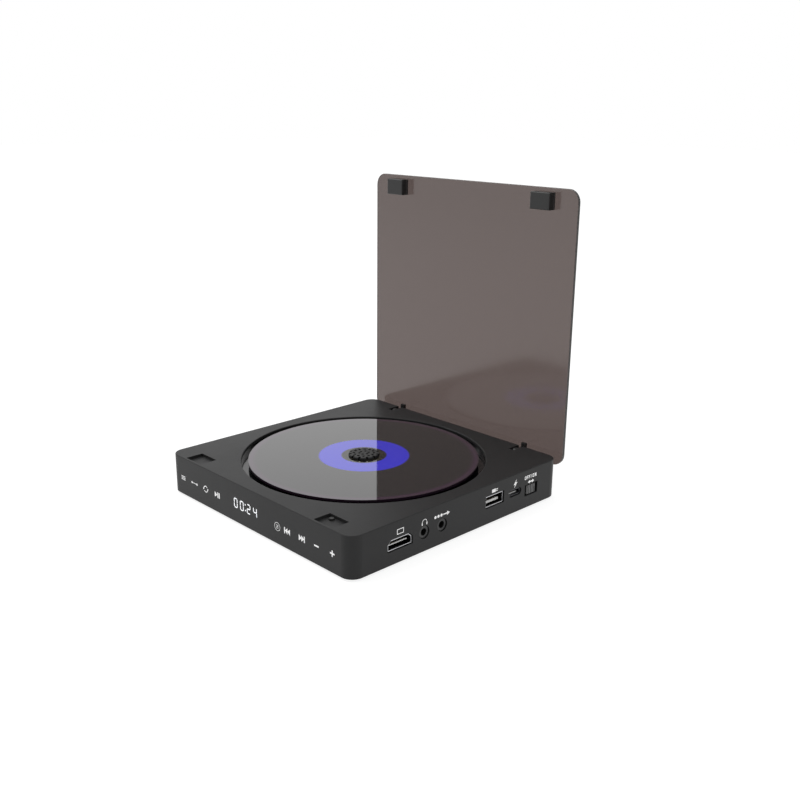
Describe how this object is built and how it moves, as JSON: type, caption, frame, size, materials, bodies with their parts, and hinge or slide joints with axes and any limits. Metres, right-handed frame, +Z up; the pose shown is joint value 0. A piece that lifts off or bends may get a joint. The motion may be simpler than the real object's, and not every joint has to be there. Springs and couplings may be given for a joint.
{
  "type": "portable disc player",
  "caption": "Small square disc player with a hinged smoked lid over a round well, touch keys and a display in front, and sockets at the right.",
  "frame": {"origin": "on the resting plane, under the disc's axis", "axes": "+X to the right along the front, +Y to the rear, +Z up; the touch keys face -Y, the sockets face +X"},
  "size_m": [0.144, 0.1492, 0.1588],
  "materials": {
    "case_plastic": "fine matte moulding",
    "cover_plastic": "matte moulding",
    "well_plastic": "satin moulding",
    "smoked_sheet": "polished smoked clear sheet",
    "block_plastic": "matte moulding",
    "knob_plastic": "matte moulding",
    "hub_plastic": "matte moulding",
    "disc_face": "mirrored under clear lacquer, with a blue ring",
    "rubber": "matte rubber",
    "screw_steel": "blackened steel",
    "bright_steel": "ground steel",
    "socket_steel": "nickel plated sheet",
    "socket_plastic": "moulded",
    "tongue_plastic": "pale moulding",
    "circuit_board": "solder mask",
    "chip_black": "moulded",
    "spring_steel": "plated",
    "display_black": "glossy",
    "capacitor_can": "bare can",
    "battery_foil": "foil",
    "flat_lead": "film",
    "drive_plastic": "moulded",
    "bronze": "sintered",
    "copper_winding": "enamelled wire",
    "motor_can": "plated can",
    "magnet": "plated",
    "lens_glass": "clear"
  },
  "bodies": {
    "player": {"case_shell": "case_plastic", "disc_well": "well_plastic", "well_screws": "screw_steel", "bottom_cover": "cover_plastic", "rubber_feet": "rubber", "cover_screws": "screw_steel", "touch_board": "circuit_board", "touch_springs": "spring_steel", "display_module": "display_black", "main_board": "circuit_board", "board_screws": "screw_steel", "main_processor": "chip_black", "memory_chip": "chip_black", "motor_driver_chip": "chip_black", "board_capacitors": "capacitor_can", "video_socket_shell": "socket_steel", "video_socket_insulator": "tongue_plastic", "data_socket_shell": "socket_steel", "data_socket_insulator": "tongue_plastic", "charge_socket_shell": "screw_steel", "charge_socket_insulator": "tongue_plastic", "headphone_jack": "socket_plastic", "line_jack": "socket_plastic", "switch_body": "socket_plastic", "battery_pack": "battery_foil", "battery_lead": "flat_lead", "drive_lead": "flat_lead", "front_lead": "flat_lead", "mechanism_tray": "drive_plastic", "guide_rods": "bright_steel", "damper_grommets": "rubber", "mechanism_screws": "screw_steel", "spindle_base": "bright_steel", "spindle_bearing": "bronze", "spindle_stator": "copper_winding", "screw_bearing": "drive_plastic", "sled_motor": "motor_can", "lid_switch_body": "socket_plastic", "keeper_plates": "bright_steel", "hinge_pins": "bright_steel"},
    "power_knob": {"power_knob": "knob_plastic"},
    "lid": {"lid_plate": "smoked_sheet", "lid_block_left": "block_plastic", "lid_block_right": "block_plastic", "block_magnets": "magnet", "hinge_arm_left": "block_plastic", "hinge_arm_right": "block_plastic"},
    "lid_switch": {"lid_switch_plunger": "knob_plastic"},
    "spindle": {"spindle_rotor": "bright_steel", "turntable": "hub_plastic", "turntable_pad": "rubber", "clamp_hub": "hub_plastic", "disc": "disc_face"},
    "sled": {"sled_body": "drive_plastic", "laser_unit": "motor_can", "focus_magnets": "magnet", "sled_nut": "drive_plastic"},
    "lens": {"lens_holder": "drive_plastic", "objective_lens": "lens_glass"},
    "lead_screw": {"lead_screw": "bright_steel"}
  },
  "joints": [
    {"name": "lid_hinge", "type": "hinge", "parent": "player", "child": "lid", "pos_m": [0, 0.068, 0.0184], "axis": [1, 0, 0], "range_deg": [0, 90]},
    {"name": "lid_switch_press", "type": "slide", "parent": "player", "child": "lid_switch", "axis": [0, 0, -1], "range_m": [0, 0.0006], "stiffness_N_per_m": 60},
    {"name": "power_slide", "type": "slide", "parent": "player", "child": "power_knob", "axis": [0, 1, 0], "range_m": [0, 0.0016]},
    {"name": "spindle_spin", "type": "hinge", "parent": "player", "child": "spindle", "pos_m": [0, 0, 0], "axis": [0, 0, 1], "continuous": true},
    {"name": "sled_slide", "type": "slide", "parent": "player", "child": "sled", "axis": [-1, 0, 0], "range_m": [0, 0.032]},
    {"name": "lens_focus", "type": "slide", "parent": "sled", "child": "lens", "axis": [0, 0, 1], "range_m": [-0.0007, 0.0007], "stiffness_N_per_m": 60},
    {"name": "lead_screw_spin", "type": "hinge", "parent": "player", "child": "lead_screw", "pos_m": [0, -0.0278, 0.011], "axis": [1, 0, 0], "continuous": true}
  ],
  "couplings": [
    {"joint": "lid_switch_press", "follows": "lid_hinge", "m_per_rad": 0.0003819},
    {"joint": "lead_screw_spin", "follows": "sled_slide", "rad_per_m": 2094.4}
  ]
}
